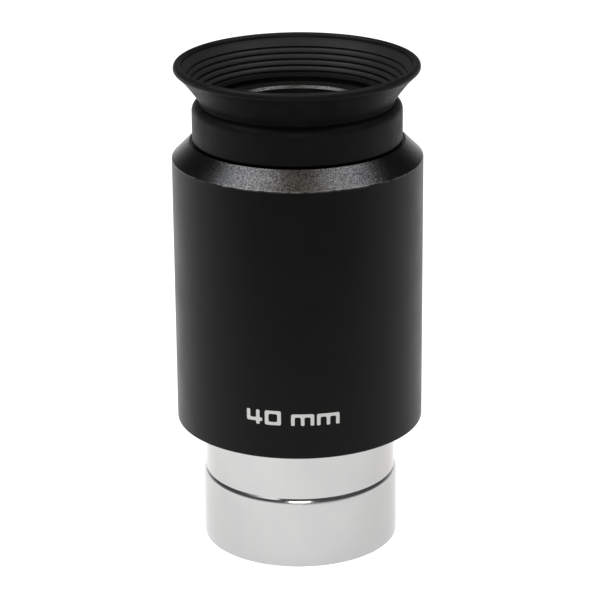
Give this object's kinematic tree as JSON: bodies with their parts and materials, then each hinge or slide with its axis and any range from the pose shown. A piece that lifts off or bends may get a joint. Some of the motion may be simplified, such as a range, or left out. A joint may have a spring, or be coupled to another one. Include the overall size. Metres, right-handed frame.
{
  "type": "telescope eyepiece",
  "caption": "Long-focus push-fit telescope eyepiece: bright undercut barrel, black cylindrical casing with a bevelled top, two cemented lens doublets and a fold-down flared rubber eyecup.",
  "frame": {"origin": "centre of the barrel's open end, where the eyepiece stands when it is set down", "axes": "+Z along the optical axis towards the eye; the shape is round about Z, and the front is -Y"},
  "size_m": [0.04, 0.04, 0.0799],
  "materials": {
    "barrel_plating": "bright satin plating over turned brass",
    "casing_anodising": "satin black anodising, fine blasted grain",
    "cell_anodising": "black anodising with a bright blasted chamfer",
    "blackened_metal": "dull anti-reflection black",
    "flint_glass": "polished, multi-coated outside face",
    "crown_glass": "polished, coated",
    "eyecup_rubber": "matte moulded black rubber"
  },
  "bodies": {
    "casing": {"barrel": "barrel_plating", "field_stop": "blackened_metal", "casing": "casing_anodising", "lens_cell": "cell_anodising", "field_retaining_ring": "blackened_metal", "field_flint": "flint_glass", "field_crown": "crown_glass", "lens_spacer": "blackened_metal", "eye_crown": "crown_glass", "eye_flint": "flint_glass"},
    "eyecup": {"eyecup_collar": "eyecup_rubber", "eyecup_flare": "eyecup_rubber"},
    "eyecup_rim": {"eyecup_rim": "eyecup_rubber"}
  },
  "joints": [
    {"name": "eyecup_turn", "type": "hinge", "parent": "casing", "child": "eyecup", "pos_m": [0, 0, 0.0676], "axis": [0, 0, 1], "continuous": true},
    {"name": "eyecup_fold", "type": "slide", "parent": "eyecup", "child": "eyecup_rim", "axis": [0, 0, -1], "range_m": [0, 0.009], "deforming": ["eyecup_flare"]}
  ]
}
